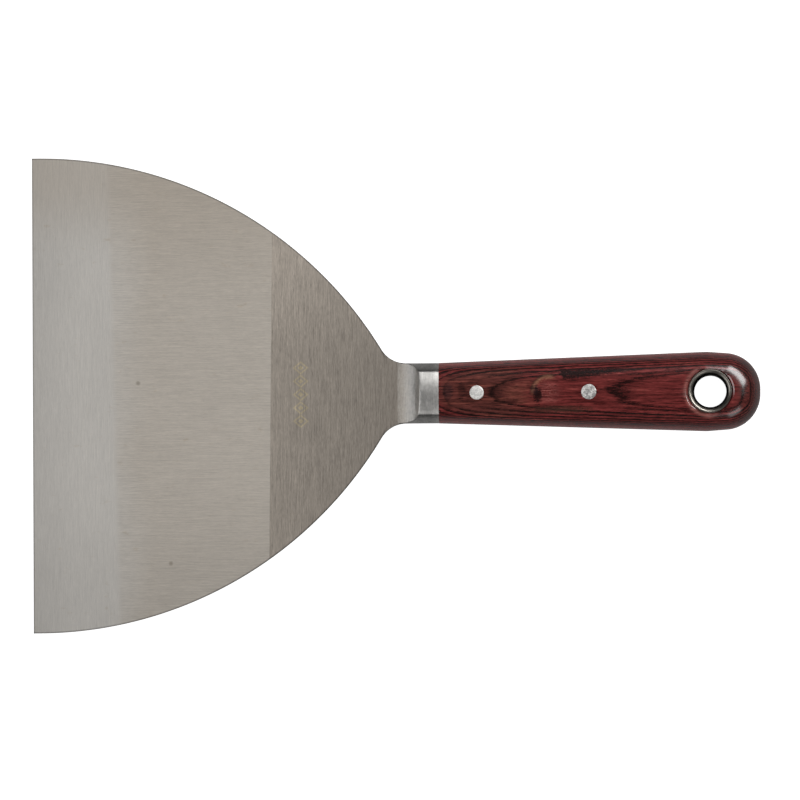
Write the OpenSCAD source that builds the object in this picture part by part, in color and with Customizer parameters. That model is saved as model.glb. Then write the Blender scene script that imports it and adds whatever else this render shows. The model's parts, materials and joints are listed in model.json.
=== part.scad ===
// Drywall taping knife: a fan blade with a full tang, two bolster cheeks,
// two wooden handle scales, two rivets and a hang eyelet.
// The origin is the centre of the hang hole, in the middle of the tang's thickness.
// +X runs along the tool towards the working edge, +Z out of the front face.

/* [Blade] */
// Width of the working edge
edge_w = 200; // [185:1:210]
// Radius of the fan's curved sides
fan_r = 168.6; // [160:0.1:176]
// Radius of the fillets between fan and neck
fillet_r = 12; // [8:0.5:18]
// Thickness of the steel at the neck and tang
stock_t = 1.6; // [1.2:0.1:2]
// Thickness at the start of the flat by the working edge
flat_t = 0.62; // [0.5:0.02:0.8]
// Thickness of the working edge itself
edge_t = 0.5; // [0.3:0.05:0.5]
// Length of the flat, back from the working edge
flat_l = 33.9; // [20:0.1:50]
// Length of the hollow-ground band behind the flat
hollow_l = 66.4; // [40:0.1:80]

/* [Grip] */
// Distance from the hang hole to the end of the wooden scales
grip_l = 113.8; // [110:0.1:125]
// Distance from the hang hole to the butt end
butt_l = 21; // [19:0.5:24]
// Width of the grip where it meets the bolster
seam_w = 25.4; // [24:0.1:28]
// Width of the grip at its widest, by the hang hole
palm_w = 33.3; // [31:0.1:36]
// Thickness of the grip where it meets the bolster
seam_t = 15; // [13:0.5:18]
// Thickness of the grip by the hang hole
palm_t = 19.2; // [17:0.1:22]

/* [Bolster] */
// Length of each bolster cheek, with its ramp
bolster_l = 17.5; // [14:0.5:22]
// Length of the ramp, measured along the blade
ramp_l = 9.5; // [7:0.5:11]
// Width of the facet along each side, seen from the front
facet_w = 3.4; // [2:0.1:5]
// Height at which the facets start, above the middle of the tang
facet_z = 1.3; // [1.1:0.1:3]
// Radius of the crown across the bolster
crown_r = 33; // [25:1:60]

/* [Rivets] */
// Diameter of the rivets
rivet_d = 6.3; // [5:0.1:8]
// Distance of the fore rivet from the hang hole
rivet_fore_x = 97.8; // [85:0.1:104]
// Distance of the aft rivet from the hang hole
rivet_aft_x = 50.8; // [30:0.1:75]
// Height of the dome on each end of a rivet
rivet_dome = 0.12; // [0.04:0.02:0.4]

/* [Hang eyelet] */
// Bore of the hang eyelet
eyelet_bore_d = 13.5; // [10:0.5:14]
// Wall thickness of the eyelet's tube
eyelet_wall = 0.5; // [0.3:0.1:0.8]
// Diameter of the eyelet's flanges
flange_d = 18.4; // [17:0.1:20]
// Thickness of the eyelet's flanges
flange_t = 0.7; // [0.4:0.1:1]

/* [Hidden] */

steel = [0.64, 0.62, 0.59];
bolster_steel = [0.7, 0.7, 0.69];
rosewood = [0.36, 0.1, 0.11];
aluminium = [0.78, 0.77, 0.75];
gunmetal = [0.36, 0.34, 0.31];

hairline = 0.02;                 // gap round a rivet or eyelet in the wood
clearance = 0.15;                // gap round a rivet or eyelet in the tang
countersink = 0.3;               // gap round the eyelet's flange in the wood
seat_drop = 0.6;                 // the flange's seat lies this far under the palm's top
slice = 0.01;                    // thickness of the slices that a scale is blended from
far = 400;                       // larger than the whole tool
ramp_foot = 3.6;                 // the ramp runs this far past the fillet's end
edge_run = 2.6;                  // short straight stretch of the sides by the working edge
palm_x = 1.9;                    // the grip is widest here
palm_flat = 8;                   // width of the flat on top of the palm
butt_y = 1;                      // the butt's corner arcs are centred this far off the axis

half_stock = stock_t / 2;
half_edge = edge_w / 2;
neck_w = seam_w - 0.1;
bolster_front = grip_l + bolster_l;
rivet_r = rivet_d / 2;
bore_r = eyelet_bore_d / 2;
tube_r = bore_r + eyelet_wall;
flange_r = flange_d / 2;
seat_z = palm_t / 2 - seat_drop;
butt_r = palm_w / 2 - 1.55;

// The fillet leaves the neck just ahead of the bolster, and touches the fan's side.
fillet_x = bolster_front - ramp_foot;
fillet_y = neck_w / 2 + fillet_r;
fan_y = half_edge - fan_r;
fan_x = fillet_x + sqrt(pow(fan_r + fillet_r, 2) - pow(fillet_y - fan_y, 2));
touch_a = atan2(fillet_y - fan_y, fillet_x - fan_x);
edge_x = fan_x + edge_run;
flat_x = edge_x - flat_l;
hollow_x = flat_x - hollow_l;

// Points along an arc, from angle a0 to angle a1 in n steps.
function arc(x, y, r, a0, a1, n) =
    [for (i = [0:n]) let (a = a0 + (a1 - a0) * i / n) [x + r * cos(a), y + r * sin(a)]];
// The same points on the other side of the first axis, in reverse order.
function mirrored(points) =
    [for (i = [len(points) - 1:-1:0]) [points[i][0], -points[i][1]]];
// Half of the blade's thickness at x.
function half_t(x) =
    x <= hollow_x ? half_stock
    : x <= flat_x ? flat_t / 2 + (half_stock - flat_t / 2) * pow((flat_x - x) / hollow_l, 2)
    : flat_t / 2 + (edge_t - flat_t) / 2 * (x - flat_x) / flat_l;
// Height of the grip's surface over its centre line at x.
function grip_z(x) = palm_t / 2 + (seam_t - palm_t) / 2 * x / grip_l;

// Outline of the fan and neck, back to where the scales start.
module blade_plan() {
    side = concat(
        [[grip_l - slice, neck_w / 2]],
        arc(fillet_x, fillet_y, fillet_r, -90, touch_a - 180, 12),
        arc(fan_x, fan_y, fan_r, touch_a, 90, 48),
        [[edge_x, half_edge]]);
    polygon(concat(side, mirrored(side)));
}

// Side profile of the blade: stock, hollow grind, flat.
module blade_profile() {
    stations = concat([grip_l - 1], [for (i = [0:12]) hollow_x + hollow_l * i / 12], [edge_x]);
    top = [for (x = stations) [x, half_t(x)]];
    polygon(concat(top, mirrored(top)));
}

// Circles that the palm's outline is drawn round, taken in by inset.
module palm_circles(inset, fn) {
    translate([palm_x, 0]) circle(palm_w / 2 - inset, $fn = fn);
    for (side = [-1, 1])
        translate([butt_r - butt_l, side * butt_y]) circle(butt_r - inset, $fn = fn);
}

// Outline of the grip.
module grip_plan() {
    hull() {
        translate([grip_l - slice, -seam_w / 2]) square([slice, seam_w]);
        palm_circles(0, 96);
    }
}

// Upper half of the section at the bolster: crowned top, a facet on each side.
module bolster_section(width) {
    crown_y = width / 2 - facet_w;
    crown_a = asin(crown_y / crown_r);
    top = arc(0, seam_t / 2 - crown_r, crown_r, 90 - crown_a, 90 + crown_a, 12);
    polygon(concat([[width / 2, half_stock], [width / 2, facet_z]], top,
        [[-width / 2, facet_z], [-width / 2, half_stock]]));
}

module blade() {
    color(steel) difference() {
        union() {
            intersection() {
                translate([0, 0, -half_stock]) linear_extrude(stock_t) blade_plan();
                rotate([90, 0, 0]) linear_extrude(far, center = true) blade_profile();
            }
            translate([0, 0, -half_stock]) linear_extrude(stock_t) grip_plan();
        }
        for (x = [rivet_aft_x, rivet_fore_x])
            translate([x, 0, -stock_t]) cylinder(r = rivet_r + clearance, h = 2 * stock_t, $fn = 64);
        translate([0, 0, -stock_t]) cylinder(r = tube_r + clearance, h = 2 * stock_t, $fn = 96);
    }
}

// One cheek, brazed to the tang. A grinding wheel's arc leads from its top down to the blade.
module bolster_cheek() {
    rise = seam_t / 2 - half_stock;
    ramp_r = (ramp_l * ramp_l + rise * rise) / (2 * rise);
    color(bolster_steel) difference() {
        translate([grip_l, 0, 0]) rotate([90, 0, 90])
            linear_extrude(bolster_l) bolster_section(neck_w);
        translate([bolster_front, 0, half_stock + ramp_r]) rotate([90, 0, 0])
            cylinder(r = ramp_r, h = far, center = true, $fn = 180);
    }
}

// One scale: the bolster's section at one end, blended into the rounded palm at the other.
module handle_scale() {
    rise = palm_t / 2 - half_stock - slice;
    reach = (palm_w - palm_flat) / 2;
    color(rosewood) difference() {
        hull() {
            translate([grip_l - slice, 0, 0]) rotate([90, 0, 90])
                linear_extrude(slice) bolster_section(seam_w);
            for (a = [0:11.25:90])
                translate([0, 0, half_stock + rise * pow(sin(a), 0.9)])
                    linear_extrude(slice) palm_circles(reach * pow(1 - cos(a), 1.25), 64);
        }
        for (x = [rivet_aft_x, rivet_fore_x])
            translate([x, 0, 0]) cylinder(r = rivet_r + hairline, h = palm_t, $fn = 64);
        cylinder(r = tube_r + hairline, h = palm_t, $fn = 96);
        translate([0, 0, seat_z]) cylinder(r = flange_r + countersink, h = palm_t, $fn = 96);
    }
}

// A solid rivet through both scales, with a low dome on each end.
module rivet(x) {
    rim_z = grip_z(x);
    dome_r = (rivet_r * rivet_r + rivet_dome * rivet_dome) / (2 * rivet_dome);
    dome_a = asin(rivet_r / dome_r);
    dome = arc(0, rim_z + rivet_dome - dome_r, dome_r, 90 - dome_a, 90, 6);
    color(aluminium) translate([x, 0, 0]) rotate_extrude($fn = 64)
        polygon(concat(mirrored(dome), dome));
}

// A tube with a rounded flange turned out over each scale.
module hang_eyelet() {
    side = concat(
        [[tube_r, seat_z], [flange_r, seat_z]],
        arc(flange_r - flange_t, seat_z, flange_t, 6, 90, 6),
        arc(bore_r + flange_t, seat_z, flange_t, 90, 180, 6));
    color(gunmetal) rotate_extrude($fn = 96)
        polygon(concat(side, mirrored(side)));
}

blade();
bolster_cheek();  // bolster_cheek_front
mirror([0, 0, 1]) bolster_cheek();  // bolster_cheek_back
handle_scale();  // handle_scale_front
mirror([0, 0, 1]) handle_scale();  // handle_scale_back
rivet(rivet_fore_x);  // rivet_fore
rivet(rivet_aft_x);  // rivet_aft
hang_eyelet();
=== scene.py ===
"""The look of a drywall taping knife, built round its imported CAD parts.

The frame is the CAD's: the origin in the middle of the hang hole, +X towards the working edge and
+Z out of the front face. Shapes are worked out in millimetres and made in metres.
"""
import json
import math

import bmesh
import bpy
from mathutils import Matrix, Vector

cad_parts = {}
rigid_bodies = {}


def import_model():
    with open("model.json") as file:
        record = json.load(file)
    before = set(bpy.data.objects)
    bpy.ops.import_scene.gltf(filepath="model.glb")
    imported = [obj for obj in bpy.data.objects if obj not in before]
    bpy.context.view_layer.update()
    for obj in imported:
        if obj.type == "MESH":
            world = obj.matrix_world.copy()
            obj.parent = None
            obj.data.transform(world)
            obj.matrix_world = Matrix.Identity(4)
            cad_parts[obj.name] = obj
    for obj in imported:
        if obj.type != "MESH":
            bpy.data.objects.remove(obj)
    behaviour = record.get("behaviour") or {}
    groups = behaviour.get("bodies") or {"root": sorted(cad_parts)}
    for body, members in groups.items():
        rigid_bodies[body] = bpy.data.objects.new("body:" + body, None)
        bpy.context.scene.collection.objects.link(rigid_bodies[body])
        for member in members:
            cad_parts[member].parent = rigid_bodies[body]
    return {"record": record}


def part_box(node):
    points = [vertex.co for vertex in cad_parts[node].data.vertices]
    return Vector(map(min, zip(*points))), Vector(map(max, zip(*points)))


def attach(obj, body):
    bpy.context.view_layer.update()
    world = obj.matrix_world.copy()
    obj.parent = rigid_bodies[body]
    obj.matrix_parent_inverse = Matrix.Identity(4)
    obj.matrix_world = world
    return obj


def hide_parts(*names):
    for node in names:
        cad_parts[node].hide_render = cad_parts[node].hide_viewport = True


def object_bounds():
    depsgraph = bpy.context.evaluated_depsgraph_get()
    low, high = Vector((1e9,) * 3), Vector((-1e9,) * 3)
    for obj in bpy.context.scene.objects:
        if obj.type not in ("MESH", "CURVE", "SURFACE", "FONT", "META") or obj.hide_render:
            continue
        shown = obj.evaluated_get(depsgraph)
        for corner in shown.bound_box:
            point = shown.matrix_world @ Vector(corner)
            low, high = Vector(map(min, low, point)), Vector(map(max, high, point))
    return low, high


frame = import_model()
cad_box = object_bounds()

MM = 0.001


def node_box(node):
    """A node's lowest and highest corners, in millimetres."""
    low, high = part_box(node)
    return Vector(low) / MM, Vector(high) / MM


# ---------------------------------------------------------------------------- sizes, from the frame

BLADE_HIGH = node_box("blade")[1]
CHEEK_LOW, CHEEK_HIGH = node_box("bolster_cheek_front")
SCALE_LOW, SCALE_HIGH = node_box("handle_scale_front")
EYELET_HIGH = node_box("hang_eyelet")[1]
RIVET_BOXES = {name: node_box(name) for name in ("rivet_fore", "rivet_aft")}
HANG_HOLE = frame["record"]["mounts"][0]["dims"]

STOCK = BLADE_HIGH.z                  # half of the tang's thickness
EDGE_X = BLADE_HIGH.x
EDGE_Y = BLADE_HIGH.y
SEAM_X = CHEEK_LOW.x                  # the scales end and the bolster starts here
RAMP_X = CHEEK_HIGH.x                 # the bolster's ramp meets the blade here
NECK_Y = CHEEK_HIGH.y
CHEEK_Z = CHEEK_HIGH.z
BUTT_X = SCALE_LOW.x
PALM_Y = SCALE_HIGH.y
PALM_Z = SCALE_HIGH.z
RIVET_X = {name: (low.x + high.x) / 2 for name, (low, high) in RIVET_BOXES.items()}
BORE_R = HANG_HOLE["r_mm"]
SEAT_Z = HANG_HOLE["length_mm"] / 2   # the lining's flanges sit on the wood at this height
FLANGE_R = EYELET_HIGH.x
FLANGE_Z = EYELET_HIGH.z

# The blade
FAN_R = 168.6                         # the fan's curved sides
FILLET_R = 12.0                       # between fan and neck
FILLET_X = RAMP_X - 3.6
FLAT_X = EDGE_X - 33.9                # the flat by the working edge starts here
HOLLOW_X = FLAT_X - 66.4              # the hollow grind starts here
FLAT_T = 0.31                         # half thicknesses
EDGE_T = 0.25
EDGE_BREAK = 0.08                     # the working edge is rounded off by this much
DEBURR = 0.25                         # the bevel along every edge of the blade

# The grip
WOOD_PROUD = 0.05                     # the wood stands out from the tang's edge by this much
SCALE_SEAM_Y = NECK_Y + WOOD_PROUD
PALM_X = 1.9                          # the grip is widest here
PALM_SQUARE = 3.4                     # how square the palm's section is: 2 is an ellipse
PALM_TOP_Y = 4.0                      # the palm's rounding ends this far from its middle line
SEAM_TOP_Y = 3.0                      # and at the seam this far
PALM_DOME = 0.035                     # how much the middle strip swells at the palm
SEAM_DOME = 0.137                     # and at the seam
BUTT_R = PALM_Y - 1.55                # the butt's corner arcs
BUTT_Y = 1.0

# The bolster
FACET_W = 3.5                         # the shoulders, seen from the front
FACET_TURN = 22.0                     # half of the angle that a shoulder turns through
CROWN_R = 33.0                        # the crown across the bolster
CHEEK_ROUND = 0.4                     # the rounding of its sharp edges
RAMP_L = 9.5
RAMP_BEND = 0.8                       # share of the ramp that rises gently
RAMP_FOOT = (20.0, 50.0)              # its angles there, from the blade up
RAMP_HEAD = (60.0, 73.0)              # and on the steep rest

# Rivets and lining
RIVET_R = {"rivet_fore": 2.95, "rivet_aft": 3.15}
RIVET_DOME = 0.07
RIVET_ROUND = 0.04                    # the rounding of a head's rim
PIN_GAP = 0.04                        # between a pin and the wood
TUBE_R = BORE_R + 0.5
TUBE_GAP = 0.02                       # between the lining and the wood

SHARP = math.radians(30.0)            # edges that turn more than this stay sharp
BEYOND = 20.0                         # past every face of the grip, for what cuts through it
HOLE_TURNS = 128                      # how finely the hang hole is turned
PIN_TURNS = 64                        # and the rivets


def arc(x, y, r, start, end, steps):
    """Points along an arc, with the angles in degrees."""
    turns = [math.radians(start + (end - start) * i / steps) for i in range(steps + 1)]
    return [(x + r * math.cos(a), y + r * math.sin(a)) for a in turns]


def mix(a, b, t):
    """The number that lies the share t of the way from a to b."""
    return a + (b - a) * t


# ------------------------------------------------------------------------------------------- meshes

def make_object(name, verts, faces):
    """An object from points in millimetres and faces."""
    mesh = bpy.data.meshes.new(name)
    mesh.from_pydata([tuple(c * MM for c in v) for v in verts], [], faces)
    made = bpy.data.objects.new(name, mesh)
    bpy.context.collection.objects.link(made)
    clean(made)
    return made


def build(name, verts, faces, slot, node, material, cutters=(), rounding=0.0):
    """Makes a piece, cuts and rounds it, puts it on the root body and hides its CAD node."""
    piece = make_object(name, verts, faces)
    for cutter in cutters:
        cut(piece, cutter)
    if cutters:
        clean(piece)
    if rounding:
        soften(piece, rounding)
    piece.data.materials.clear()
    piece.data.materials.append(material)
    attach(piece, "root")
    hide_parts(node)


def clean(piece):
    """Merges doubled points, turns all faces outwards and marks the sharp edges."""
    same = 0.0005 * MM
    bm = bmesh.new()
    bm.from_mesh(piece.data)
    bmesh.ops.remove_doubles(bm, verts=bm.verts, dist=same)
    bmesh.ops.dissolve_degenerate(bm, edges=bm.edges, dist=same)
    bmesh.ops.recalc_face_normals(bm, faces=bm.faces)
    for face in bm.faces:
        face.smooth = True
    for edge in bm.edges:
        edge.smooth = len(edge.link_faces) == 2 and edge.calc_face_angle(0.0) < SHARP
    bm.to_mesh(piece.data)
    bm.free()


def soften(piece, width):
    """Rounds the sharp edges of a cheek that stand clear of the blade and of the wood."""
    clear_z, clear_x = (STOCK + 0.4) * MM, (SEAM_X + 0.1) * MM
    bm = bmesh.new()
    bm.from_mesh(piece.data)
    edges = [e for e in bm.edges if not e.smooth and len(e.link_faces) == 2
             and min(abs(v.co.z) for v in e.verts) > clear_z
             and max(v.co.x for v in e.verts) > clear_x]
    bmesh.ops.bevel(bm, geom=edges, offset=width * MM, segments=3, profile=0.5, affect="EDGES")
    bm.to_mesh(piece.data)
    bm.free()
    clean(piece)


def cut(piece, cutter):
    """Takes the cutter's volume out of the piece, for good."""
    modifier = piece.modifiers.new("cut", "BOOLEAN")
    modifier.operation = "DIFFERENCE"
    modifier.solver = "EXACT"
    modifier.object = cutter
    depsgraph = bpy.context.evaluated_depsgraph_get()
    mesh = bpy.data.meshes.new_from_object(piece.evaluated_get(depsgraph))
    piece.modifiers.clear()
    old = piece.data
    piece.data = mesh
    mesh.name = piece.name
    bpy.data.meshes.remove(old)


def lathe_points(profile, x, turns):
    """A closed profile of (radius, height) points, turned about a vertical axis at x."""
    verts, faces, count = [], [], len(profile)
    for i in range(turns):
        a = 2 * math.pi * i / turns
        verts += [(x + r * math.cos(a), r * math.sin(a), z) for r, z in profile]
    for i in range(turns):
        for j in range(count):
            k = (j + 1) % count
            n = (i + 1) % turns
            faces.append((i * count + j, n * count + j, n * count + k, i * count + k))
    return verts, faces


def make_cutter(profile, x, turns):
    """A turned solid that only serves to cut others."""
    return make_object("cutter", *lathe_points(profile, x, turns))


def drill(radius, x, turns):
    """A cutter for a round hole through the whole grip."""
    return make_cutter([(0, -BEYOND), (radius, -BEYOND), (radius, BEYOND), (0, BEYOND)], x, turns)


def grid_faces(rows, columns, start=0):
    """Quads between rows of points that are stored one row after the other."""
    return [
        (start + i * columns + j, start + i * columns + j + 1,
         start + (i + 1) * columns + j + 1, start + (i + 1) * columns + j)
        for i in range(rows - 1) for j in range(columns - 1)
    ]


# ------------------------------------------------------------------------------------------ outlines

FILLET_Y = NECK_Y + FILLET_R
FAN_Y = EDGE_Y - FAN_R
FAN_X = FILLET_X + math.sqrt((FAN_R + FILLET_R) ** 2 - (FILLET_Y - FAN_Y) ** 2)
TOUCH = math.degrees(math.atan2(FILLET_Y - FAN_Y, FILLET_X - FAN_X))
TOUCH_X = FAN_X + FAN_R * math.cos(math.radians(TOUCH))


def palm_arc(inset, steps):
    """Half of the palm's outline, moved in by inset: points from the side round to the butt."""
    side = math.degrees(math.asin((PALM_Y - SCALE_SEAM_Y) / (SEAM_X - PALM_X)))
    points = []
    for i in range(steps + 1):
        a = math.radians(mix(90 - side, 180, i / steps))
        palm = (PALM_X, 0.0, PALM_Y)
        corner = (BUTT_R + BUTT_X, BUTT_Y, BUTT_R)
        x, y, r = max(palm, corner, key=lambda c: c[0] * math.cos(a) + c[1] * math.sin(a) + c[2])
        points.append((x + (r - inset) * math.cos(a), y + (r - inset) * math.sin(a)))
    return points


def blade_half_width(x):
    """From the middle line out to the blade's edge: straight, fan, fillet, then the neck."""
    if x >= FAN_X:
        return EDGE_Y
    if x >= TOUCH_X:
        return FAN_Y + math.sqrt(FAN_R ** 2 - (x - FAN_X) ** 2)
    if x >= FILLET_X:
        return FILLET_Y - math.sqrt(FILLET_R ** 2 - (x - FILLET_X) ** 2)
    return NECK_Y


def blade_half_thickness(x):
    """Full stock, then the hollow grind, then the flat that thins towards the working edge."""
    if x <= HOLLOW_X:
        return STOCK
    if x <= FLAT_X:
        return FLAT_T + (STOCK - FLAT_T) * ((FLAT_X - x) / (FLAT_X - HOLLOW_X)) ** 2
    return mix(FLAT_T, EDGE_T, (x - FLAT_X) / (EDGE_X - FLAT_X))


# --------------------------------------------------------------------------------------------- blade

def blade_mesh():
    """The blade and its tang: closed sections across the tool, from butt to working edge."""
    stations = palm_arc(WOOD_PROUD, 40)[::-1]
    palm_x, palm_y = stations[-1]
    straight = 12
    for i in range(1, straight + 1):
        stations.append((mix(palm_x, SEAM_X, i / straight), mix(palm_y, NECK_Y, i / straight)))
    crease = 0.15                     # stations this close keep the hollow's first line crisp
    fan = [SEAM_X + 2, RAMP_X, FILLET_X]
    fan += [FILLET_X + FILLET_R * math.sin(math.radians(4 * i)) for i in range(1, 15)]
    fan += [x for x, _ in arc(FAN_X, 0, FAN_R, TOUCH, 90, 60)]
    fan += [HOLLOW_X - crease, HOLLOW_X, HOLLOW_X + crease, FLAT_X, EDGE_X - EDGE_BREAK, EDGE_X]
    stations += [(x, blade_half_width(x)) for x in sorted(fan)]
    columns = 33
    rows = []
    for x, y in stations:
        t = blade_half_thickness(x)
        bevel = min(DEBURR, 0.4 * t)
        if x == EDGE_X:
            t -= EDGE_BREAK
        across = [(y - bevel) * (1 - 2 * j / (columns - 1)) for j in range(columns)]
        top = [(x, v, t) for v in across]
        under = [(x, v, -t) for v in reversed(across)]
        near = [(x, -y, t - bevel), (x, -y, bevel - t)]
        far = [(x, y, bevel - t), (x, y, t - bevel)]
        rows.append(top + near + under + far)
    count = len(rows[0])
    verts = [v for row in rows for v in row]
    faces = [
        (i * count + j, i * count + (j + 1) % count,
         (i + 1) * count + (j + 1) % count, (i + 1) * count + j)
        for i in range(len(rows) - 1) for j in range(count)
    ]
    faces += [tuple(range(count)), tuple(range((len(rows) - 1) * count, len(rows) * count))]
    return verts, faces


# ------------------------------------------------------------------------------------------- bolster

def shoulder_section(half_width, shoulder_steps, crown_steps, centre_y):
    """From the foot of the side, round the shoulder and over the crown to centre_y, as (y, z)."""
    crown_y = half_width - FACET_W
    crown_z = CHEEK_Z - CROWN_R + math.sqrt(CROWN_R ** 2 - crown_y ** 2)
    run, rise = FACET_W, crown_z - STOCK
    chord = math.hypot(run, rise)
    lean = math.atan2(rise, run)
    turn = math.radians(FACET_TURN)
    radius = chord / 2 / math.sin(turn)
    points = []
    for i in range(shoulder_steps + 1):
        a = mix(lean + turn, lean - turn, i / shoulder_steps)
        y = half_width - radius * (math.sin(lean + turn) - math.sin(a))
        z = STOCK + radius * (math.cos(a) - math.cos(lean + turn))
        points.append((y, z))
    for i in range(1, crown_steps + 1):
        y = mix(crown_y, centre_y, i / crown_steps)
        points.append((y, CHEEK_Z - CROWN_R + math.sqrt(CROWN_R ** 2 - y ** 2)))
    return points


def ramp_profile():
    """Points (run, rise) up the ramp: gentle most of the way from the blade, then steep."""
    points, steps = [(0.0, 0.0)], 60
    for i in range(steps):
        t = (i + 0.5) / steps
        if t < RAMP_BEND:
            slope = math.radians(mix(*RAMP_FOOT, t / RAMP_BEND))
        else:
            slope = math.radians(mix(*RAMP_HEAD, (t - RAMP_BEND) / (1 - RAMP_BEND)))
        run, rise = points[-1]
        points.append((run + RAMP_L / steps, rise + RAMP_L / steps * math.tan(slope)))
    fit = (CHEEK_Z - STOCK) / points[-1][1]
    return [(run, rise * fit) for run, rise in points]


def read_off(profile, axis, value):
    """For a value on one axis of a rising profile, the value on the other axis."""
    for low, high in zip(profile, profile[1:]):
        if value <= high[axis]:
            break
    t = (value - low[axis]) / (high[axis] - low[axis])
    return mix(low[1 - axis], high[1 - axis], min(max(t, 0.0), 1.0))


def bolster_mesh(face):
    """One cheek: a crowned block whose end runs down to the blade as a ramp; face is 1 or -1."""
    half = shoulder_section(NECK_Y, 10, 14, 0.0)
    section = half + [(-y, z) for y, z in reversed(half[:-1])]
    profile = ramp_profile()

    def ramp_z(x):
        return STOCK + read_off(profile, 0, RAMP_X - x)

    def ramp_x(z):
        return RAMP_X - read_off(profile, 1, z - STOCK)

    flat_rows, ramp_rows = 6, 26
    rows = []
    for i in range(flat_rows + 1):
        rows.append([(mix(SEAM_X, ramp_x(z), i / flat_rows), y, z) for y, z in section])
    for i in range(1, ramp_rows + 1):
        row = []
        for y, z in section:
            x = mix(ramp_x(z), RAMP_X, i / ramp_rows)
            row.append((x, y, ramp_z(x)))
        rows.append(row)
    count = len(section)
    verts = [v for row in rows for v in row]
    faces = grid_faces(len(rows), count)
    base = len(verts)
    verts += [(x, y, STOCK) for x, y, z in verts]
    faces += grid_faces(len(rows), count, base)
    for i in range(len(rows) - 1):
        for j in (0, count - 1):
            a = i * count + j
            faces.append((a, a + count, base + a + count, base + a))
    faces.append(tuple(range(count)) + tuple(reversed(range(base, base + count))))
    return [(x, y, face * z) for x, y, z in verts], faces


# -------------------------------------------------------------------------------------------- scales

def scale_mesh(face):
    """One scale: rings that follow its outline, from the tang up to the crown, then a cap."""
    steps_round, steps_side, cap = 48, 28, 10
    shoulder, crown = 12, 12
    seam = shoulder_section(SCALE_SEAM_Y, shoulder, crown, SEAM_TOP_Y)
    levels = len(seam)
    top_turn = math.acos((PALM_TOP_Y / PALM_Y) ** (PALM_SQUARE / 2))
    rise = PALM_Z - STOCK

    def ring(k):
        u = k / (levels - 1)
        a = top_turn * u
        inset = PALM_Y * (1 - math.cos(a) ** (2 / PALM_SQUARE))
        z = STOCK + rise * math.sin(a)
        seam_y, seam_z = seam[k]
        palm = palm_arc(inset, steps_round)
        half = []
        for i in range(steps_side):
            t = i / steps_side
            half.append((mix(SEAM_X, palm[0][0], t), mix(seam_y, palm[0][1], t), mix(seam_z, z, t)))
        half += [(x, y, z) for x, y in palm]
        butt = [(half[-1][0], half[-1][1] * (1 - 2 * i / cap), half[-1][2]) for i in range(1, cap)]
        return half, butt

    rings = [ring(k) for k in range(levels)]
    half_count = len(rings[0][0])
    verts, faces = [], []
    count = 2 * half_count + cap - 1
    for half, butt in rings:
        verts += half + butt + [(x, -y, z) for x, y, z in reversed(half)]
    faces += grid_faces(levels, count)

    def cover(level, dome):
        """Closes a ring with rows straight across, which swell by dome at the seam and the palm."""
        first = level * count
        rows = []
        for i in range(half_count):
            a, b = first + i, first + count - 1 - i
            row = [a]
            for j in range(1, cap):
                t = j / cap
                if i == half_count - 1:
                    row.append(first + half_count - 1 + j)
                    continue
                x, y, z = verts[a]
                swell = mix(dome[1], dome[0], max(x - PALM_X, 0) / (SEAM_X - PALM_X))
                verts.append((x, mix(y, -y, t), z + swell * (1 - (1 - 2 * t) ** 2)))
                row.append(len(verts) - 1)
            row.append(b)
            rows.append(row)
        for lower, upper in zip(rows, rows[1:]):
            faces.extend((lower[j], lower[j + 1], upper[j + 1], upper[j]) for j in range(cap))
        return rows[0]

    seam_top = cover(levels - 1, (SEAM_DOME, PALM_DOME))
    seam_foot = cover(0, (0.0, 0.0))
    near = [k * count for k in range(levels)]
    far = [(k + 1) * count - 1 for k in range(levels)]
    faces.append(tuple(near + seam_top[1:-1] + far[::-1] + seam_foot[::-1][1:-1]))
    return [(x, y, face * z) for x, y, z in verts], faces


# ------------------------------------------------------------------------------------ rivets, eyelet

def grip_height(x):
    """Height of the wood over the tool's middle line."""
    return mix(PALM_Z, CHEEK_Z, (x - PALM_X) / (SEAM_X - PALM_X))


def rivet_mesh(name):
    """A pin whose ends are sanded with the wood: low domes that follow the grip's taper."""
    x, radius = RIVET_X[name], RIVET_R[name]
    top = grip_height(x)
    side = [(radius * t, top + RIVET_DOME * (1 - t * t)) for t in (0.0, 0.3, 0.6, 0.85, 0.96)]
    side += [(radius, top - RIVET_ROUND)]
    profile = side + [(r, -z) for r, z in reversed(side)]
    verts, faces = lathe_points(profile, x, PIN_TURNS)
    taper = (CHEEK_Z - PALM_Z) / (SEAM_X - PALM_X)
    verts = [(a, b, c + math.copysign(taper, c) * (a - x)) for a, b, c in verts]
    return verts, faces


def eyelet_mesh():
    """A tube whose ends flare out into dished rims."""
    lip = [
        (BORE_R, 0.0), (BORE_R, SEAT_Z - 2.6), (BORE_R + 0.05, SEAT_Z - 1.8),
        (BORE_R + 0.17, SEAT_Z - 1.05), (BORE_R + 0.36, SEAT_Z - 0.5), (BORE_R + 0.62, SEAT_Z - 0.08),
        (BORE_R + 0.95, SEAT_Z + 0.2), (BORE_R + 1.3, SEAT_Z + 0.4), (BORE_R + 1.65, FLANGE_Z - 0.14),
        (BORE_R + 1.95, FLANGE_Z - 0.06), (BORE_R + 2.2, FLANGE_Z - 0.12),
        (FLANGE_R - 0.1, FLANGE_Z - 0.3), (FLANGE_R, SEAT_Z + 0.12),
        (FLANGE_R - 0.04, SEAT_Z - 0.08), (FLANGE_R - 0.4, SEAT_Z - 0.14),
        (BORE_R + 1.2, SEAT_Z - 0.3), (BORE_R + 0.7, SEAT_Z - 1.0), (TUBE_R, SEAT_Z - 2.0), (TUBE_R, 0.0),
    ]
    profile = lip + [(r, -z) for r, z in reversed(lip[1:-1])]
    return lathe_points(profile, 0.0, HOLE_TURNS)


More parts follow.
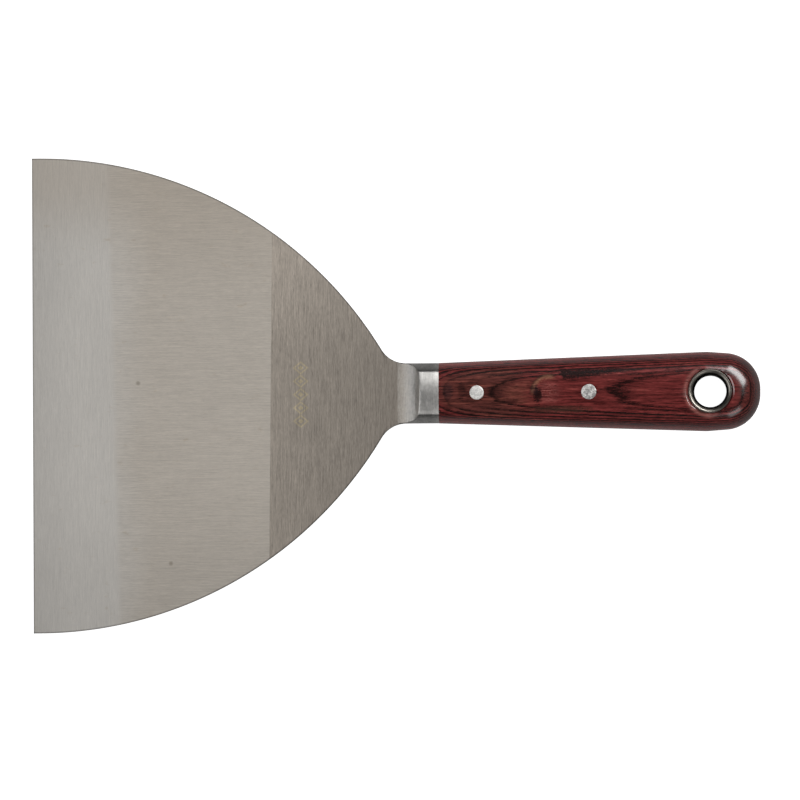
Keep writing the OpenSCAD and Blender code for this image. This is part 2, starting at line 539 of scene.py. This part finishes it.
def seat_cutter(face):
    """Makes room for a flange and rounds the wood down to it."""
    profile = [
        (0, SEAT_Z - 0.3), (FLANGE_R + 0.04, SEAT_Z - 0.3), (FLANGE_R + 0.12, SEAT_Z - 0.14),
        (FLANGE_R + 0.4, SEAT_Z + 0.05), (FLANGE_R + 0.9, SEAT_Z + 0.26), (FLANGE_R + 1.4, SEAT_Z + 0.48),
        (FLANGE_R + 1.9, SEAT_Z + 0.72), (FLANGE_R + 1.9, BEYOND), (0, BEYOND),
    ]
    return make_cutter([(r, face * z) for r, z in profile], 0.0, HOLE_TURNS)


# ----------------------------------------------------------------------------------------- materials

class Field:
    """A number that varies over a surface. Arithmetic on fields adds nodes to the material."""

    def __init__(self, tree, socket):
        self.tree = tree
        self.socket = socket

    def plug(self, target, value):
        if isinstance(value, Field):
            self.tree.links.new(value.socket, target)
        else:
            target.default_value = value

    def math(self, operation, *others, clamp=False):
        node = self.tree.nodes.new("ShaderNodeMath")
        node.operation = operation
        node.use_clamp = clamp
        self.tree.links.new(self.socket, node.inputs[0])
        for target, other in zip(node.inputs[1:], others):
            self.plug(target, other)
        return Field(self.tree, node.outputs[0])

    def __add__(self, other):
        return self.math("ADD", other)

    def __sub__(self, other):
        return self.math("SUBTRACT", other)

    def __mul__(self, other):
        return self.math("MULTIPLY", other)

    def __truediv__(self, other):
        return self.math("DIVIDE", other)

    def __rsub__(self, other):
        return self.math("MULTIPLY", -1.0).math("ADD", other)

    __radd__ = __add__
    __rmul__ = __mul__

    def abs(self):
        return self.math("ABSOLUTE")

    def power(self, exponent):
        return self.math("POWER", exponent)

    def exp(self):
        return self.math("EXPONENT")

    def at_least(self, number):
        return self.math("MAXIMUM", number)

    def at_most(self, number):
        return self.math("MINIMUM", number)

    def clamped(self):
        return self.math("ADD", 0.0, clamp=True)

    def step(self, low, high):
        """0 below low and 1 above high, with a smooth climb between. low may be the larger one."""
        node = self.tree.nodes.new("ShaderNodeMapRange")
        node.interpolation_type = "SMOOTHSTEP"
        swap = low > high
        self.tree.links.new(self.socket, node.inputs["Value"])
        node.inputs["From Min"].default_value = min(low, high)
        node.inputs["From Max"].default_value = max(low, high)
        node.inputs["To Min"].default_value = 1.0 if swap else 0.0
        node.inputs["To Max"].default_value = 0.0 if swap else 1.0
        return Field(self.tree, node.outputs["Result"])

    def bump(self, centre, width):
        """1 at the centre, falling off over the width like a bell."""
        return ((self - centre) / width).power(2.0).math("MULTIPLY", -1.0).exp()

    def ramp(self, low, high, stops):
        """A colour for each value between low and high, from (value, colour) stops."""
        node = self.tree.nodes.new("ShaderNodeValToRGB")
        self.tree.links.new(((self - low) / (high - low)).socket, node.inputs["Fac"])
        elements = node.color_ramp.elements
        while len(elements) < len(stops):
            elements.new(0.5)
        for element, (value, color) in zip(elements, stops):
            element.position = (value - low) / (high - low)
            element.color = (*color, 1.0)
        return Color(self.tree, node.outputs["Color"])


class Color:
    """A colour that varies over a surface."""

    def __init__(self, tree, socket):
        self.tree = tree
        self.socket = socket

    def blend(self, amount, other, how="MIX"):
        """This colour with another blended over it by amount."""
        node = self.tree.nodes.new("ShaderNodeMix")
        node.data_type = "RGBA"
        node.blend_type = how
        factor, first, second = node.inputs[0], node.inputs[6], node.inputs[7]
        if isinstance(amount, Field):
            self.tree.links.new(amount.socket, factor)
        else:
            factor.default_value = amount
        self.tree.links.new(self.socket, first)
        if isinstance(other, (Color, Field)):
            self.tree.links.new(other.socket, second)
        else:
            second.default_value = (*other, 1.0)
        return Color(self.tree, node.outputs[2])

    def times(self, gain):
        """The colour made brighter or darker by a field, or tinted by a colour, round 1."""
        return self.blend(1.0, gain, "MULTIPLY")


class Surface:
    """A principled material with the place on the piece, in millimetres, to paint it by."""

    def __init__(self, name, **settings):
        self.material = bpy.data.materials.new(name)
        self.material.use_nodes = True
        self.tree = self.material.node_tree
        self.shader = self.tree.nodes["Principled BSDF"]
        for key, value in settings.items():
            self.shader.inputs[key.replace("_", " ")].default_value = value
        place = self.tree.nodes.new("ShaderNodeTexCoord")
        scale = self.tree.nodes.new("ShaderNodeVectorMath")
        scale.operation = "SCALE"
        scale.inputs["Scale"].default_value = 1 / MM
        split = self.tree.nodes.new("ShaderNodeSeparateXYZ")
        self.tree.links.new(place.outputs["Object"], scale.inputs[0])
        self.tree.links.new(scale.outputs[0], split.inputs[0])
        self.x, self.y, self.z = (Field(self.tree, split.outputs[i]) for i in range(3))

    def color(self, rgb):
        node = self.tree.nodes.new("ShaderNodeRGB")
        node.outputs[0].default_value = (*rgb, 1.0)
        return Color(self.tree, node.outputs[0])

    def distance(self, x, y):
        """How far it is to an upright line at x, y."""
        return ((self.x - x).power(2.0) + (self.y - y).power(2.0)).power(0.5)

    def noise(self, x, y, z, detail, rough, seed=0.0):
        """Noise from 0 to 1 with grains about 1/x by 1/y by 1/z millimetres."""
        join = self.tree.nodes.new("ShaderNodeCombineXYZ")
        for target, axis, density in zip(join.inputs, (self.x, self.y, self.z), (x, y, z)):
            self.tree.links.new((axis * density + seed).socket, target)
        node = self.tree.nodes.new("ShaderNodeTexNoise")
        node.inputs["Scale"].default_value = 1.0
        node.inputs["Detail"].default_value = detail
        node.inputs["Roughness"].default_value = rough
        self.tree.links.new(join.outputs[0], node.inputs["Vector"])
        return Field(self.tree, node.outputs[0])

    def brush(self, across):
        """Says which way the highlights stretch: across the grain."""
        node = self.tree.nodes.new("ShaderNodeCombineXYZ")
        for target, number in zip(node.inputs, across):
            target.default_value = number
        self.tree.links.new(node.outputs[0], self.shader.inputs["Tangent"])

    def paint(self, color, roughness, height, depth):
        """Sets what varies: the colour, the roughness, and a relief of so many millimetres."""
        self.tree.links.new(color.socket, self.shader.inputs["Base Color"])
        self.tree.links.new(roughness.socket, self.shader.inputs["Roughness"])
        node = self.tree.nodes.new("ShaderNodeBump")
        node.inputs["Strength"].default_value = 1.0
        node.inputs["Distance"].default_value = depth * MM
        self.tree.links.new(height.socket, node.inputs["Height"])
        self.tree.links.new(node.outputs["Normal"], self.shader.inputs["Normal"])
        return self.material


def srgb(red, green, blue):
    """A colour as a screen shows it, from 0 to 255, in the linear numbers that shaders take."""
    return tuple(
        c / 12.92 if c <= 0.04045 else ((c + 0.055) / 1.055) ** 2.4
        for c in (red / 255, green / 255, blue / 255)
    )


# ---------------------------------------------------------------------------------------- the steel

HOLLOW_SKEW = 0.0125                  # how far off square the hollow's first line is
FLAT_SKEW = 0.023                     # and the flat's
SPOTS = ((240.5, -5.0), (227.0, 70.9))    # two small rust spots on the front


def etched_diamonds(s):
    """A plain row of diamonds, etched across the front of the blade ahead of the neck."""
    place, pitch, count, start = 172.0, 5.6, 5, -13.8
    end = start + count * pitch
    v = ((s.y - start) / pitch).math("FRACT") * pitch - pitch / 2
    reach = (s.x - place).abs() * 0.85 + v.abs()
    line = reach.bump(2.4, 0.4) + reach.step(1.3, 0.8)
    row = s.y.step(start - 0.1, start + 0.1) * s.y.step(end + 0.1, end - 0.1)
    return line.clamped() * row * s.z.step(0.0, 0.1)


def band_tones_and_sheen(s, flat, hollow, cloud):
    """The bands' tones, partly painted reflection for how each band's grain and the hollow's curve catch the
    light. The stock darkens towards the grip, the hollow at its ends, and the flat is cooler.
    """
    up = s.y * -1.0
    stock_color = s.color((0.4, 0.356, 0.309)).times((s.x - 160.0).at_least(-35.0) * 0.006 + 1.02)
    # painted light: the stock is painted lighter towards -Y
    stock_color = stock_color.times(up.step(5.0, 70.0) * 0.3 + 1.0)
    hollow_color = s.color((0.68, 0.625, 0.555)).times(1.0 - s.y.step(20.0, 100.0) * 0.12)
    hollow_color = hollow_color.blend(up.step(25.0, 100.0), (0.613, 0.551, 0.476))
    flat_color = s.color((0.75, 0.72, 0.675)).times(1.0 - (s.x - 262.0).step(0.0, 26.0) * 0.1)
    flat_color = flat_color.times(1.0 - s.y.step(30.0, 100.0) * 0.1)
    cool = (s.x + s.y * FLAT_SKEW + cloud * 30.0).step(FLAT_X - 16.0, FLAT_X + 4.0)
    cool = (cool * 0.6 + flat * 0.4) * (1.0 - up.step(55.0, 92.0) * 0.65)
    return stock_color.blend(hollow, hollow_color.blend(cool, flat_color))


def painted_edge_shade_and_glint(s):
    """Painted shade and highlight: the blade's side edges are painted darker than its faces, and the tang's
    edge is painted bright.
    """
    tang = s.x.step(SEAM_X + 2.0, SEAM_X)
    grind = ((FLAT_X - s.x) / (FLAT_X - HOLLOW_X)).clamped().power(2.0) * (STOCK - FLAT_T)
    taper = ((s.x - FLAT_X) / (EDGE_X - FLAT_X)).clamped() * (FLAT_T - EDGE_T)
    edge = (s.z.abs() - grind + taper).step(FLAT_T - 0.02, FLAT_T - 0.08)
    # painted shade on the side edges, a painted glint on the tang's edge
    return 1.0 + edge * (tang * 1.1 - 0.5)


def painted_edge_line_shade(s):
    """A thin line of painted shade on the faces, along the fan's sides and the working edge."""
    inset = FAN_R - ((s.x - FAN_X).power(2.0) + (s.y.abs() - FAN_Y).power(2.0)).power(0.5)
    sides = inset.step(0.75, 0.25) * s.x.step(TOUCH_X - 3.0, TOUCH_X) * 0.45
    return 1.0 - (sides + (EDGE_X - s.x).step(0.8, 0.3) * 0.3)


def ground_steel():
    """Spring steel with its three bands: cross-ground, hollow-ground lengthways, cross-ground."""
    s = Surface("ground_steel", Metallic=1.0)
    flat = (s.x + s.y * FLAT_SKEW).step(FLAT_X - 2.2, FLAT_X + 1.2)
    hollow = (s.x - s.y * HOLLOW_SKEW).step(HOLLOW_X - 0.25, HOLLOW_X + 0.25)
    across = s.noise(2.8, 0.1, 0.9, 3.0, 0.8) * 0.6 + s.noise(4.0, 0.4, 1.0, 2.0, 0.8, 7.0) * 0.4
    across = across - 0.5
    lengthways = s.noise(0.09, 2.8, 0.9, 3.0, 0.8, 3.0) * 0.6 + s.noise(0.4, 4.0, 1.0, 2.0, 0.8, 9.0) * 0.4
    lengthways = lengthways - 0.5
    cloud = s.noise(0.02, 0.014, 0.1, 2.0, 0.5, 21.0) - 0.5
    ground_grain = lengthways * (1.0 - flat) * 0.9 + across * flat * 0.6
    grain = across * 1.9 * (1.0 - hollow) + ground_grain * hollow
    color = band_tones_and_sheen(s, flat, hollow, cloud).times(1.0 + grain + cloud * 0.12)
    for x, y in SPOTS:
        spot = s.distance(x, y) + across * 0.8
        color = color.blend(spot.step(1.3, 0.3) * s.z.step(0.0, 0.1) * 0.45, (0.2, 0.15, 0.1))
    smudge = s.noise(0.16, 0.3, 0.2, 4.0, 0.7, 37.0).step(0.6, 0.78)
    color = color.times(s.color((1.0, 1.0, 1.0)).blend(smudge * hollow * 0.5, (0.82, 0.74, 0.64)))
    # painted shade and glints along the blade's edges
    color = color.times(painted_edge_shade_and_glint(s)).times(painted_edge_line_shade(s))
    ornament = etched_diamonds(s)
    worn = ornament * (0.85 + across * 1.2).clamped()
    color = color.blend(worn, color.times(s.color((1.32, 1.27, 0.98))))
    return s.paint(color, 0.49 + grain * 0.1, grain - ornament, 0.004)


def satin_steel():
    """The bolster: a satin finish brushed across the tool, warmer where it runs out on the blade, with a
    painted highlight by the wood and painted shade on the shoulders.
    """
    s = Surface("satin_steel", Metallic=1.0, Anisotropic=0.75)
    s.brush((1.0, 0.0, 0.0))
    streak = s.noise(2.6, 0.16, 0.6, 3.0, 0.7) * 0.6 + s.noise(6.0, 0.7, 2.0, 2.0, 0.7, 5.0) * 0.4 - 0.5
    cloud = s.noise(0.35, 0.3, 0.3, 3.0, 0.6, 15.0) - 0.5
    blotch = s.noise(1.0, 0.8, 0.9, 3.0, 0.6, 25.0) - 0.5
    foot = (s.x + cloud * 3.0).step(RAMP_X - 6.5, RAMP_X - 1.0)
    color = s.color((0.44, 0.43, 0.414)).blend(foot, s.color((0.34, 0.313, 0.281)))
    # painted highlight: the bolster is painted brighter by the wood
    painted_end_highlight = s.x.step(SEAM_X + 4.0, SEAM_X) * 0.25 + 1.0
    # painted shade: the shoulders are painted darker
    shoulder = (s.y.abs() - NECK_Y + FACET_W).step(-0.4, 0.5) * s.x.step(RAMP_X - 7.0, RAMP_X - 9.5)
    gain = (streak * 1.3 + cloud * 0.5 + blotch * 0.6 + 1.0) * painted_end_highlight * (1.0 - shoulder * 0.22)
    roughness = 0.42 + streak * 0.2 + blotch * 0.2
    return s.paint(color.times(gain), roughness, streak + blotch + cloud, 0.01)


# ------------------------------------------------------------------------------- rivets and lining

def sanded_aluminium():
    """Rivet heads sanded flush; the aft one has dulled in patches."""
    s = Surface("sanded_aluminium", Metallic=1.0)
    between = (RIVET_X["rivet_fore"] + RIVET_X["rivet_aft"]) / 2
    mottle = s.noise(1.1, 1.3, 0.6, 4.0, 0.7)
    scratch = s.noise(1.0, 9.0, 1.0, 3.0, 0.7, 4.0)
    patch = s.noise(0.5, 0.6, 0.5, 3.0, 0.7, 14.0).step(0.42, 0.6) * s.x.step(between, between - 2.0)
    color = s.color((0.8, 0.785, 0.765)).times(0.1 + mottle * 1.5 + scratch * 0.25)
    color = color.blend(patch, color.times(0.2 + mottle * 0.5))
    return s.paint(color, 0.45 + mottle * 0.2, scratch, 0.01)


def gunmetal_plate():
    """Smoked plating on the hang-hole lining, worn on the rim, black down the bore, with painted shade
    towards -X.
    """
    s = Surface("gunmetal_plate", Metallic=1.0)
    wear = s.noise(0.8, 0.8, 0.8, 4.0, 0.65)
    scuff = s.noise(3.0, 3.0, 3.0, 3.0, 0.7, 9.0) - 0.5
    dark_bore = (s.distance(0.0, 0.0) + wear * 0.3).step(BORE_R + 1.25, BORE_R + 0.75)
    color = s.color((0.34, 0.316, 0.28)).times(0.6 + wear * 0.7 + scuff * 0.3)
    color = color.blend(dark_bore * 0.9, (0.03, 0.029, 0.027))
    # painted shade: the lining is painted darker towards -X
    color = color.times(1.0 - s.x.step(1.0, -6.0) * 0.5)
    return s.paint(color, 0.22 + wear * 0.22 + scuff * 0.1, wear + scuff * 0.4, 0.01)


# ----------------------------------------------------------------------------------------- the wood

CRIMSON = srgb(87, 33, 32)
BRIGHT = srgb(117, 54, 50)
MAROON = srgb(50, 11, 11)
BLACK = srgb(20, 6, 6)
INK = srgb(34, 22, 24)
OLIVE = srgb(46, 28, 22)
BROWN = srgb(64, 32, 28)
RUST = srgb(94, 50, 42)
TAN = srgb(116, 80, 62)
PINK = srgb(128, 80, 74)
ROSE = srgb(128, 66, 62)

# Glue lines: how high each lies in the veneers, its strength, and that of the dyed band inside it
GLUE_LINES = (
    (0.05, 0.3, 0.4), (1.03, 0.12, 0.35), (1.72, 0.75, 0.3), (2.98, 0.8, 0.4),
    (-0.75, 0.8, 0.2), (-1.6, 0.9, 0.2), (-2.5, 0.8, 0.3),
)

# Dark figure on the front: x, y, how far it reaches along and across, its strength and colour
FIGURE = (
    (109.8, -0.4, 2.0, 3.4, 0.55, INK),
    (104.2, -0.6, 1.5, 3.6, 0.5, BLACK),
    (91.6, -0.9, 2.6, 2.0, 0.15, BLACK),
    (83.5, 3.6, 5.0, 1.2, 0.45, BLACK),
    (72.2, 1.6, 1.9, 3.2, 0.95, BLACK),
    (73.4, -1.2, 1.6, 2.0, 0.6, INK),
    (62.6, 7.2, 14.0, 1.5, 0.8, OLIVE),
    (41.0, -0.7, 2.4, 1.5, 0.3, BLACK),
)

KNOT = (67.6, 0.2)                    # the knot's heart


class Wood(Surface):
    """Dyed veneers laid flat on the tang and cut by the rounded grip, with their shared noises."""

    def __init__(self, name, face):
        super().__init__(name, Coat_Weight=1.0, Coat_Roughness=0.18, Coat_IOR=1.7, Specular_IOR_Level=0.0)
        self.height = self.z * face
        self.flank = (self.y.abs() - 4.5).at_least(0.0)
        self.jag = self.noise(0.2, 1.5, 0.6, 3.0, 0.7, 31.0) - 0.5
        self.fibre = self.noise(0.09, 1.8, 0.9, 4.0, 0.65, 47.0) - 0.5
        self.thread = self.noise(0.3, 4.5, 2.4, 2.0, 0.7, 53.0) - 0.5
        self.streak = self.noise(0.05, 0.9, 0.9, 3.0, 0.6, 71.0)
        self.speck = self.noise(1.2, 1.8, 1.2, 2.0, 0.6, 83.0) - 0.5
        dip = ((self.x - SEAM_X) / 12.0).exp() * -1.93
        wave = self.noise(0.05, 0.2, 0.1, 2.0, 0.5, 11.0 + face) - 0.5
        self.veneer = self.height - 5.87 + dip + wave * 0.3 + self.jag * 0.35 - self.flank.power(2.0) * 0.022


def wood_dyes(s):
    """Crimson veneers, browner ones high up towards the bolster, and olive ones at the butt."""
    red = s.streak.ramp(0.25, 0.75, [(0.3, MAROON), (0.45, CRIMSON), (0.6, CRIMSON), (0.72, BRIGHT)])
    brown = s.streak.ramp(0.25, 0.75, [(0.3, BROWN), (0.5, BROWN), (0.7, RUST)])
    tobacco = (s.x + s.jag * 14.0).step(68.0, 88.0) * (s.veneer + s.streak * 0.6).step(-0.9, 0.5)
    color = red.blend(tobacco * 0.9, brown)
    ember = s.veneer.step(1.92, 2.02) * (s.x + s.jag * 20.0).step(70.0, 84.0)
    color = color.blend(ember * 0.7, RUST)
    return color.blend((s.x + s.jag * 8.0).step(-8.0, -16.0) * 0.45, OLIVE)


def glue_shade(s):
    """Glue lines, each with a soft dyed band on its inner side; steep wood shows them edge on."""
    steep = ((s.y * 0.077).abs().power(3.0) + (s.x - 2.0).step(0.0, -22.0) * 0.8).at_most(0.8)
    width = steep * 0.2 + 0.06
    tip = s.y.bump(0.0, 3.2)
    shade = 0.0
    for level, line, band in GLUE_LINES:
        strength = line + steep * 0.25 * (0.9 - line)
        shade = shade + s.veneer.bump(level, width) * strength
        shade = shade + s.veneer.bump(level + 0.08, 0.09) * (tip + 0.35) * band
    ripple = ((s.veneer + s.jag * 0.2) * 7.8).math("SINE").step(-0.2, 0.8)
    side = s.flank.step(0.6, 4.0) * (1.0 - s.flank.step(6.0, 10.0) * 0.4)
    shade = shade + ripple * side * (s.streak * 2.6 + s.fibre * 2.0 - 0.35).clamped()
    return shade * (1.0 + s.speck * 1.6 + s.fibre * 2.6)


def front_figure(s, color):
    """What only the front shows: the knot, the dark figure, a tarry patch, and a painted highlight ring
    round the hole.
    """
    around = s.distance(*KNOT) + s.speck * 1.8
    heart = around.step(6.6, 1.8) * (s.speck * 1.8 + s.fibre * 2.0 + 0.25).clamped() * 0.7
    color = color.blend(heart, PINK)
    upper = (s.y + s.speck * 3.0).step(2.0, -1.0) * s.x.step(64.0, 67.0)
    color = color.blend(around.bump(7.4, 0.6) * upper * 0.8, BLACK)
    color = color.blend(around.bump(6.6, 0.8) * upper * (0.7 + s.speck * 1.6).clamped(), TAN)

    ragged = s.speck * 2.6 + s.fibre * 1.8
    for x, y, long, wide, strength, dye in FIGURE:
        mark = ((s.x - x) / long).power(2.0) + ((s.y - y) / wide).power(2.0) + ragged
        color = color.blend(mark.step(1.7, 0.2) * strength, dye)

    middle = s.y + 7.3 + (62.0 - s.x) * 0.062
    reach = s.x.step(26.0, 62.0) * 1.9 + 0.3
    patch = (middle.abs() - reach + ragged * 1.1).step(0.5, -0.5)
    patch = patch * (s.x + ragged * 0.8 + s.y * 0.3).step(60.6, 59.6) * s.x.step(24.0, 34.0)
    color = color.blend(patch * (1.0 + s.speck * 2.6 + s.thread * 2.6).clamped(), BLACK)

    # painted highlight: a pink sheen ring on the wood round the lining, on the +X side
    rim = s.distance(0.0, 0.0).bump(FLANGE_R + 1.2, 0.8)
    rim = rim * (s.x + s.y * 0.4 + s.speck * 4.0).step(-1.0, 5.0)
    return color.blend(rim * 0.6, PINK)


def laminated_wood(name, face):
    """One scale's wood: dyes, glue lines, the front's figure, then grain and pores under lacquer."""
    s = Wood(name, face)
    color = wood_dyes(s).times(1.0 - glue_shade(s).clamped() * 0.92)
    if face > 0:
        color = front_figure(s, color)
    # lighter, rosier wood on the low steep edges: partly the wood's own colour to the edge, partly a painted
    # edge sheen
    low = s.height.step(5.4, 2.2)
    color = color.blend(low * (s.x.step(-15.0, -6.0) * 0.35 + 0.08), ROSE)
    gain = (1.74 + (s.fibre * 3.0 + s.thread * 2.6) * 1.5) * (1.0 + s.flank.step(0.0, 4.0) * 0.18)
    gain = gain * (1.0 - s.y.step(6.0, 12.0) * 0.15) * (1.0 - s.x.step(-13.0, -19.0) * 0.2)
    color = color.times(gain)
    color = color.blend((s.fibre + s.thread * 1.4).step(0.08, 0.4) * 0.2, PINK)
    pore = s.noise(0.3, 2.6, 2.0, 1.0, 0.5, 61.0).step(0.6, 0.68)
    color = color.blend(pore * 0.55, BLACK)
    relief = s.fibre * 0.6 + s.thread * 0.3 - pore * 0.4
    return s.paint(color, 0.5 + s.fibre * 0.1, relief, 0.004)


# -------------------------------------------------------------------------------------------- pieces

steel = ground_steel()
bolster_steel = satin_steel()
rivet_metal = sanded_aluminium()
gunmetal = gunmetal_plate()
wood = {face: laminated_wood(f"laminated_wood_{side}", face) for side, face in (("front", 1), ("back", -1))}

bore_cutter = drill(TUBE_R + TUBE_GAP, 0.0, HOLE_TURNS)
pin_cutters = [drill(r + PIN_GAP, RIVET_X[name], PIN_TURNS) for name, r in RIVET_R.items()]

build("blade_and_tang", *blade_mesh(), "blade_steel", "blade", steel, [bore_cutter, *pin_cutters])
for side, face in (("front", 1), ("back", -1)):
    build(f"bolster_{side}", *bolster_mesh(face), "bolster_steel", f"bolster_cheek_{side}", bolster_steel,
          rounding=CHEEK_ROUND)
    build(f"scale_{side}", *scale_mesh(face), "pakkawood", f"handle_scale_{side}", wood[face],
          [bore_cutter, *pin_cutters, seat_cutter(face)])
for name in RIVET_BOXES:
    build(f"{name}_pin", *rivet_mesh(name), "rivet_aluminium", name, rivet_metal)
build("hang_hole_lining", *eyelet_mesh(), "eyelet_gunmetal", "hang_eyelet", gunmetal)

for cutter in [o for o in bpy.data.objects if o.name.startswith("cutter")]:
    bpy.data.objects.remove(cutter)


# --------------------------------------------------------------------------- floor, lights, camera

FLOOR_REACH = 6.0                     # metres, like all that follows
FLOOR_GREY = 0.46                     # what the tool sees of the floor
AIM = Vector((0.1303, 0.00274, 0.0))  # what the camera and the lights point at
LIGHT_DISTANCE = 1.7
VIEW_DISTANCE = 3.5
VIEW_TILT = (math.radians(2.5), math.radians(1.6))   # off straight down, towards the butt and +Y
VIEW_WIDTH = 0.3361                   # what the picture takes in at the aim
VIEW_ROLL = math.radians(-0.3)
SENSOR = 36.0                         # millimetres


def make_floor():
    """A plain floor that the tool lies on, lit from within so that the camera sees it white."""
    paint = bpy.data.materials.new("floor_paint")
    paint.use_nodes = True
    shader = paint.node_tree.nodes["Principled BSDF"]
    shader.inputs["Base Color"].default_value = (FLOOR_GREY, FLOOR_GREY, FLOOR_GREY, 1)
    shader.inputs["Roughness"].default_value = 0.9
    shader.inputs["Emission Color"].default_value = (1, 1, 1, 1)
    ray = paint.node_tree.nodes.new("ShaderNodeLightPath")
    paint.node_tree.links.new(ray.outputs["Is Camera Ray"], shader.inputs["Emission Strength"])
    far, z = FLOOR_REACH, cad_box[0][2]
    mesh = bpy.data.meshes.new("floor")
    mesh.from_pydata([(-far, -far, z), (far, -far, z), (far, far, z), (-far, far, z)], [], [(0, 1, 2, 3)])
    mesh.materials.append(paint)
    floor = bpy.data.objects.new("floor", mesh)
    bpy.context.collection.objects.link(floor)


def make_studio():
    """The room round the tool: dim walls and a nearly black ceiling."""
    world = bpy.data.worlds.new("studio")
    world.use_nodes = True
    tree = world.node_tree
    direction = tree.nodes.new("ShaderNodeTexCoord")
    split = tree.nodes.new("ShaderNodeSeparateXYZ")
    tree.links.new(direction.outputs["Generated"], split.inputs[0])
    greys = ((0.0, 0.25), (0.2, 0.15), (0.45, 0.06), (1.0, 0.02))
    walls = Field(tree, split.outputs["Z"]).ramp(0.0, 1.0, [(z, (grey,) * 3) for z, grey in greys])
    tree.links.new(walls.socket, tree.nodes["Background"].inputs["Color"])
    bpy.context.scene.world = world
    bpy.context.scene.view_settings.view_transform = "Standard"


def softbox(name, direction, size, power):
    """A soft light that shines on the tool from a direction."""
    data = bpy.data.lights.new(name, "AREA")
    data.shape = "RECTANGLE"
    data.size, data.size_y = size
    data.energy = power
    lamp = bpy.data.objects.new(name, data)
    lamp.location = AIM + Vector(direction).normalized() * LIGHT_DISTANCE
    lamp.rotation_euler = (AIM - lamp.location).to_track_quat("-Z", "Y").to_euler()
    bpy.context.collection.objects.link(lamp)


def make_camera():
    """A long lens nearly straight above the tool, with the working edge on the left."""
    data = bpy.data.cameras.new("camera")
    data.sensor_width = SENSOR
    data.lens = SENSOR * VIEW_DISTANCE / VIEW_WIDTH
    camera = bpy.data.objects.new("camera", data)
    bpy.context.collection.objects.link(camera)
    back = Vector((-math.tan(VIEW_TILT[0]), math.tan(VIEW_TILT[1]), 1.0)).normalized()
    camera.location = AIM + back * VIEW_DISTANCE
    up = Vector((math.sin(VIEW_ROLL), -math.cos(VIEW_ROLL), 0))
    right = (-back).cross(up).normalized()
    up = right.cross(-back)
    camera.rotation_euler = Matrix((right, up, back)).transposed().to_euler()
    bpy.context.scene.camera = camera


make_floor()
make_studio()
softbox("key_softbox", (-0.51, -0.49, 1.0), (1.1, 0.52), 16.5)
softbox("low_softbox", (-0.48, 0.7, 1.0), (0.7, 0.5), 2.2)
softbox("left_softbox", (0.92, 0.34, 1.0), (1.3, 0.7), 10)
make_camera()
